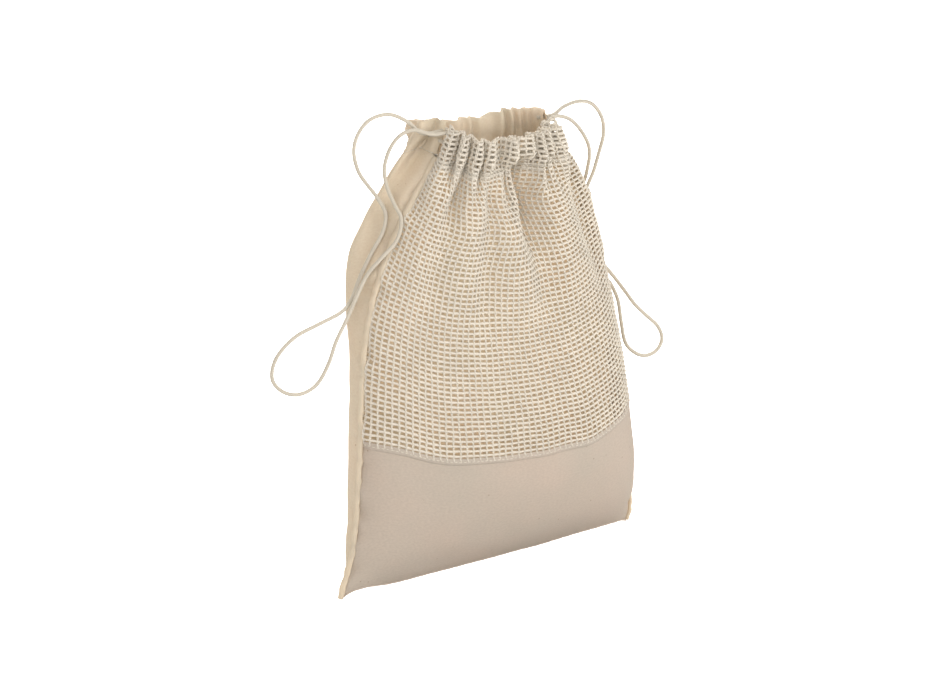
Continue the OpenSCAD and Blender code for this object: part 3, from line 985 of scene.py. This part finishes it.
def join_band():
    """The folded hem that holds the net's lower edge, standing a little off the panel."""
    u = np.linspace(0, FLAT_W, 301)
    v = np.array([JOIN_V - 5.0, JOIN_V - 4.6, JOIN_V - 3, JOIN_V - 1, JOIN_V + 0.2, JOIN_V + 0.5])
    lift = np.array([0.1, 0.45, 0.55, 0.55, 0.45, 0.1])
    points = FRONT.at(u[None], v[:, None], lift[:, None])
    # The join band uses the darker calico: painted shade.
    return cloth_mesh("net_join_band", points, uv_grid(u, v), CALICO_WITH_PAINTED_SHADE)


join_seam = join_band()
join_stitch = stitch_row("net_join_stitches", FRONT, JOIN_V - 2.2, 1.1)
front_stitch = stitch_row("front_casing_stitches", FRONT, CASING_V, 1.3)
back_stitch = stitch_row("back_casing_stitches", BACK, CASING_V, 0.7)


def bartack(name, u):
    """A block of dense zigzag that stops the slit from tearing."""
    tubes = Tubes()
    half_wide = 2.6
    rise = 0.3          # between one crossing of the zigzag and the next
    base = FRONT.at(np.array([u]), np.array([CASING_V - 1.5]))[0]
    outwards = -1 if u == 0 else 1
    path = []
    for k in range(15):
        side = k % 2
        path.append(base + [outwards * (1.4 + 0.12 * side), -half_wide + 2 * half_wide * side, -2.1 + rise * k])
    tubes.round(np.array(path), 0.34, THREAD_SIDES)
    return tubes.mesh(name, THREAD)


left_bartack = bartack("left_slit_bartack", 0.0)
right_bartack = bartack("right_slit_bartack", FLAT_W)

# ---- cords inside the casings --------------------------------------------------------------------


CORD_APART = 1.7        # how far each cord lies above or below the height CORD_V
END_U = 9.0             # how far from the side seams the cords' hidden lengths end
SPLICE_U = (143, 158)   # the whipping covers the gap between a cord's two ends, and a little of each
SPLICE_R = 1.85


def casing_cord(name, surface, up, ranges):
    """Lengths of cord in the middle of a casing's channel."""
    outer = surface.at(surface.columns, np.full(len(surface.columns), CORD_V + up * CORD_APART))
    calm = soften(outer, 40)
    path = outer * 0.35 + calm * 0.65 + inwards_from(calm, surface.front) * 2.0
    tubes = Tubes()
    for u0, u1 in ranges:
        tubes.round(samples(surface.columns, path, np.arange(u0, u1, CORD_STEP)), HIDDEN_CORD_R, 10)
    return tubes.mesh(name, CORD), path


pieces_of_cord = {}
for cord_name, up in (("left", 1), ("right", -1)):
    pieces_of_cord[cord_name + "_front"] = casing_cord(
        f"{cord_name}_cord_in_front_casing", FRONT, up, [(END_U, FLAT_W - END_U)])
    pieces_of_cord[cord_name + "_back"] = casing_cord(
        f"{cord_name}_cord_in_back_casing", BACK, up, [(END_U, 145), (156, FLAT_W - END_U)])


def splice(name, path):
    """The whipped join that closes a cord into a ring."""
    u = np.arange(*SPLICE_U, 0.35)
    tubes = Tubes()
    tubes.round(samples(BACK.columns, path, u), SPLICE_R + 0.16 * np.sin(u * 9), 10)
    return tubes.mesh(name, THREAD)


left_splice = splice("left_cord_splice_whipping", pieces_of_cord["left_back"][1])
right_splice = splice("right_cord_splice_whipping", pieces_of_cord["right_back"][1])


def bight(name, cord_name, at_left):
    """Where a cord turns round the far slit, from the front casing to the back casing."""
    u = END_U if at_left else FLAT_W - END_U
    ends = []
    for place, surface in (("front", FRONT), ("back", BACK)):
        path = pieces_of_cord[f"{cord_name}_{place}"][1]
        ends.append(samples(surface.columns, path, [u, u + (3 if at_left else -3)]))
    (a, a_in), (b, b_in) = ends
    middle = (a + b) / 2 + [-1.0 if at_left else 1.0, 0, 0]
    tubes = Tubes()
    tubes.round(smooth_route([a_in, a, middle, b, b_in], 1.0), HIDDEN_CORD_R, 10)
    return tubes.mesh(name, CORD)


left_bight = bight("left_cord_far_bight", "left", False)
right_bight = bight("right_cord_far_bight", "right", True)

# ---- bodies and stand-ins ------------------------------------------------------------------------


def attach(made, body, slot_name, *nodes):
    """Rides the piece on its body, gives it a mesh of its own, and hides the CAD nodes that it stands for."""
    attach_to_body(made, body)
    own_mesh(made)
    if nodes:
        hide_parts(*nodes)


attach(back_panel, "bag_back", "calico", "back_panel")
attach(back_casing, "bag_back", "calico", "back_casing")
attach(back_stitch, "bag_back", "thread", "back_casing_stitch")
attach(bottom_seam, "bag_back", "calico", "bottom_seam")
attach(left_seam, "bag_back", "calico", "left_side_seam")
attach(right_seam, "bag_back", "calico", "right_side_seam")
attach(left_bartack, "bag_back", "thread", "left_bartack")
attach(right_bartack, "bag_back", "thread", "right_bartack")
for strip, overlock in (left_allowance, right_allowance):
    attach(strip, "bag_back", "calico")
    attach(overlock, "bag_back", "thread")
attach(front_net, "bag_front", "net", "front_mesh_panel")
attach(lower_panel, "bag_front", "calico", "front_lower_panel")
attach(join_seam, "bag_front", "calico", "mesh_join_seam")
attach(join_stitch, "bag_front", "thread")
attach(front_casing, "bag_front", "net", "front_casing")
attach(front_stitch, "bag_front", "thread", "front_casing_stitch")
for cord_name in ("left", "right"):
    attach(pieces_of_cord[cord_name + "_front"][0], "bag_front", "cord", f"{cord_name}_cord_front_run")
    attach(pieces_of_cord[cord_name + "_back"][0], "bag_back", "cord", f"{cord_name}_cord_back_run")
attach(left_splice, "bag_back", "thread", "left_cord_splice")
attach(right_splice, "bag_back", "thread", "right_cord_splice")
attach(left_bight, "bag_back", "cord", "left_cord_bight")
attach(right_bight, "bag_back", "cord", "right_cord_bight")

# ---- floor and light -----------------------------------------------------------------------------


def make_floor():
    mesh = bpy.data.meshes.new("floor")
    size = 6.0
    corners = [(-size, -size, 0), (size, -size, 0), (size, size, 0), (-size, size, 0)]
    mesh.from_pydata(corners, [], [(0, 1, 2, 3)])
    floor = bpy.data.objects.new("floor", mesh)
    bpy.context.scene.collection.objects.link(floor)
    s = Shader("white_floor")
    s.surface.inputs["Base Color"].default_value = (0.80, 0.80, 0.80, 1)
    s.surface.inputs["Roughness"].default_value = 0.9
    s.surface.inputs["Specular IOR Level"].default_value = 0.1
    s.surface.inputs["Emission Color"].default_value = (1, 1, 1, 1)
    seen = s.add("ShaderNodeLightPath").outputs["Is Camera Ray"]
    s.join(seen, s.surface.inputs["Emission Strength"])
    mesh.materials.append(s.material)


def area_light(name, place, aim, size, power, colour=(1, 1, 1)):
    data = bpy.data.lights.new(name, "AREA")
    data.shape = "RECTANGLE"
    data.size, data.size_y = size
    data.energy = power
    data.color = colour
    light = bpy.data.objects.new(name, data)
    light.location = place
    light.rotation_mode = "QUATERNION"
    light.rotation_quaternion = (Vector(place) - Vector(aim)).to_track_quat("Z", "Y")
    bpy.context.scene.collection.objects.link(light)


def make_world():
    world = bpy.data.worlds.new("studio")
    world.use_nodes = True
    background = world.node_tree.nodes["Background"]
    background.inputs["Color"].default_value = (1.0, 0.98, 0.95, 1)
    background.inputs["Strength"].default_value = 0.68
    bpy.context.scene.world = world


make_floor()
make_world()
bag_middle = (0, 0, 0.18)
area_light("key", (-2.0, -1.5, 1.2), bag_middle, (1.0, 1.0), 20)
area_light("fill", (0.9, -1.8, 1.0), bag_middle, (1.4, 1.4), 27)
area_light("rim", (0.6, 1.6, 1.3), bag_middle, (1.4, 1.4), 42, (1.0, 0.97, 0.93))

bpy.context.scene.view_settings.view_transform = "Standard"
bpy.context.scene.render.film_transparent = False
